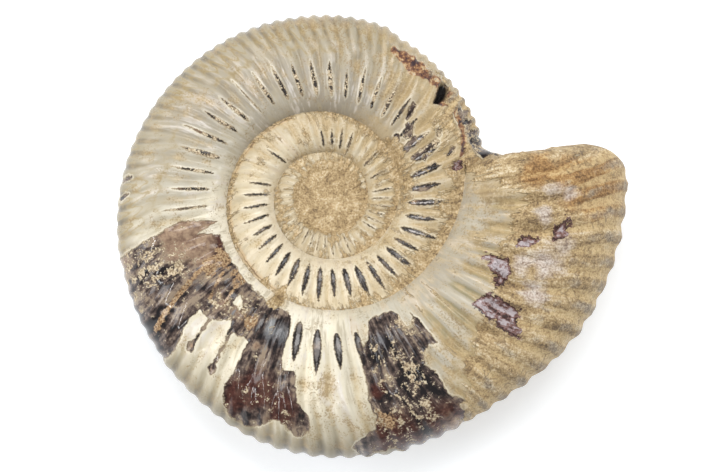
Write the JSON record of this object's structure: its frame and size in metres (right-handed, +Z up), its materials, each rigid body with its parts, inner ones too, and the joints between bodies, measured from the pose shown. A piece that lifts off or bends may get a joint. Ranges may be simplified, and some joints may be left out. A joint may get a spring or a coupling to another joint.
{
  "type": "ammonite fossil",
  "caption": "Polished coiled ammonite fossil: an open, ribbed spiral shell of stone, lying flat on its side.",
  "frame": {"origin": "centre of the bounding box, on the surface that the fossil rests on", "axes": "+X towards the wider side, where the last whorl's broken end is; +Z up, out of the shown side"},
  "size_m": [0.151, 0.1308, 0.0445],
  "materials": {
    "fossil_stone": "polished"
  },
  "bodies": {
    "root": {"ammonite": "fossil_stone"}
  },
  "joints": []
}
